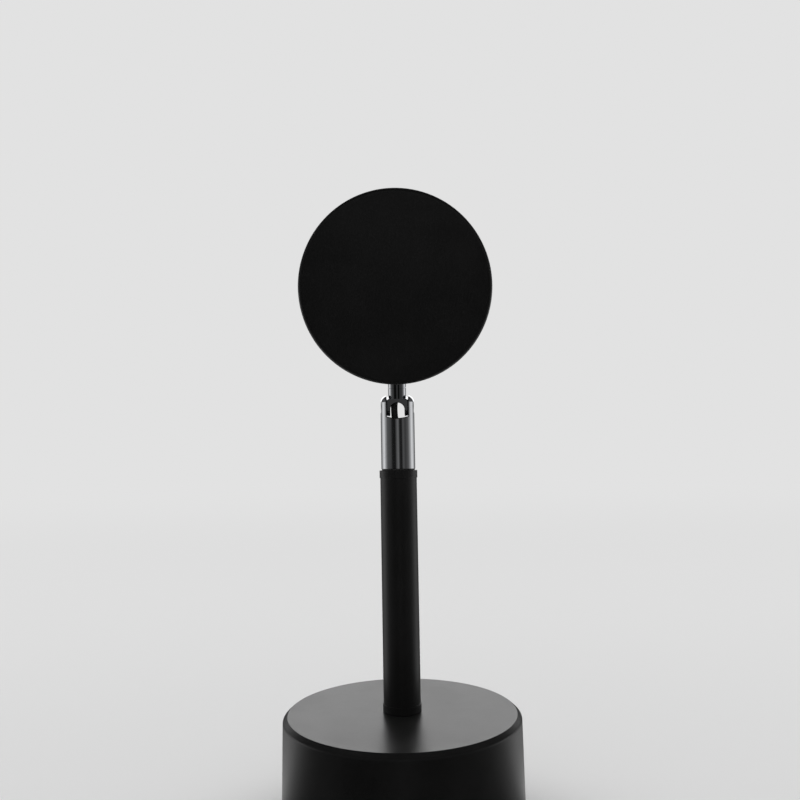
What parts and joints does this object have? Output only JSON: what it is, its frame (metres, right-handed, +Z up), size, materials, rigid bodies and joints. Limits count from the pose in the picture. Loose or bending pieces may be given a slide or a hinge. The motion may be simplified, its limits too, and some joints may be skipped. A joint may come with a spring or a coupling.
{
  "type": "sunset projection lamp",
  "caption": "Small table lamp that projects a coloured disc: round weighted base, thin post, chrome swivel knuckle and a drum head with a domed lens.",
  "frame": {"origin": "the middle of the foot pad's lower face, on the surface that the lamp stands on", "axes": "+Z up along the post; -Y is the front, where the lens looks; +X is the lamp's left as it looks forward. The picture was taken from the +Y side."},
  "size_m": [0.091, 0.0924, 0.2391],
  "materials": {
    "black_paint": "satin",
    "black_tube": "satin",
    "chrome": "polished",
    "screw_steel": "satin",
    "zinc_steel": "satin",
    "cast_iron": "matte",
    "rubber": "matte",
    "nylon": "satin",
    "lead_jacket": "satin",
    "strand_jacket": "satin",
    "lens_glass": "gloss",
    "filter_glass": "gloss",
    "spring_ring": "satin",
    "barrel_plastic": "matte",
    "aluminium": "satin",
    "thermal_pad": "matte",
    "circuit_board": "satin",
    "led": "gloss",
    "chip": "matte"
  },
  "bodies": {
    "stand": {"base_shell": "black_paint", "base_weight": "cast_iron", "base_plate": "zinc_steel", "base_screws": "screw_steel", "foot_pad": "rubber", "stem": "zinc_steel", "stem_nut": "zinc_steel", "stem_washer": "zinc_steel", "cable_gland": "rubber", "lead_clamp": "nylon", "clamp_screws": "screw_steel", "foot_ferrule": "black_tube", "post_tube": "black_tube", "swivel_bush": "black_tube", "glide_washer": "nylon", "lead_in_base": "lead_jacket", "lead_splice": "lead_jacket"},
    "swivel": {"swivel_sleeve": "chrome", "retaining_clip": "zinc_steel", "lead_in_sleeve": "lead_jacket", "lead_in_joint": "lead_jacket"},
    "head": {"neck": "chrome", "pivot_screws": "screw_steel", "friction_rings": "nylon", "neck_seat": "chrome", "neck_washer": "zinc_steel", "neck_nut": "zinc_steel", "head_shell": "black_paint", "front_cover": "black_paint", "lens": "lens_glass", "lens_gasket": "rubber", "lens_barrel": "barrel_plastic", "barrel_screws": "screw_steel", "colour_filter": "filter_glass", "filter_ring": "spring_ring", "heat_sink": "aluminium", "thermal_pad": "thermal_pad", "led_board": "circuit_board", "led_emitter": "led", "led_screws": "screw_steel", "driver_board": "circuit_board", "driver_parts": "chip", "led_strands": "strand_jacket", "lead_in_head": "lead_jacket"}
  },
  "joints": [
    {"name": "pan", "type": "hinge", "parent": "stand", "child": "swivel", "pos_m": [0, 0, 0.131], "axis": [0, 0, 1], "range_deg": [-170, 170]},
    {"name": "tilt", "type": "hinge", "parent": "swivel", "child": "head", "pos_m": [0, 0, 0.1555], "axis": [-1, 0, 0], "range_deg": [-103.5, 76.5], "deforming": ["lead_in_joint"]}
  ]
}
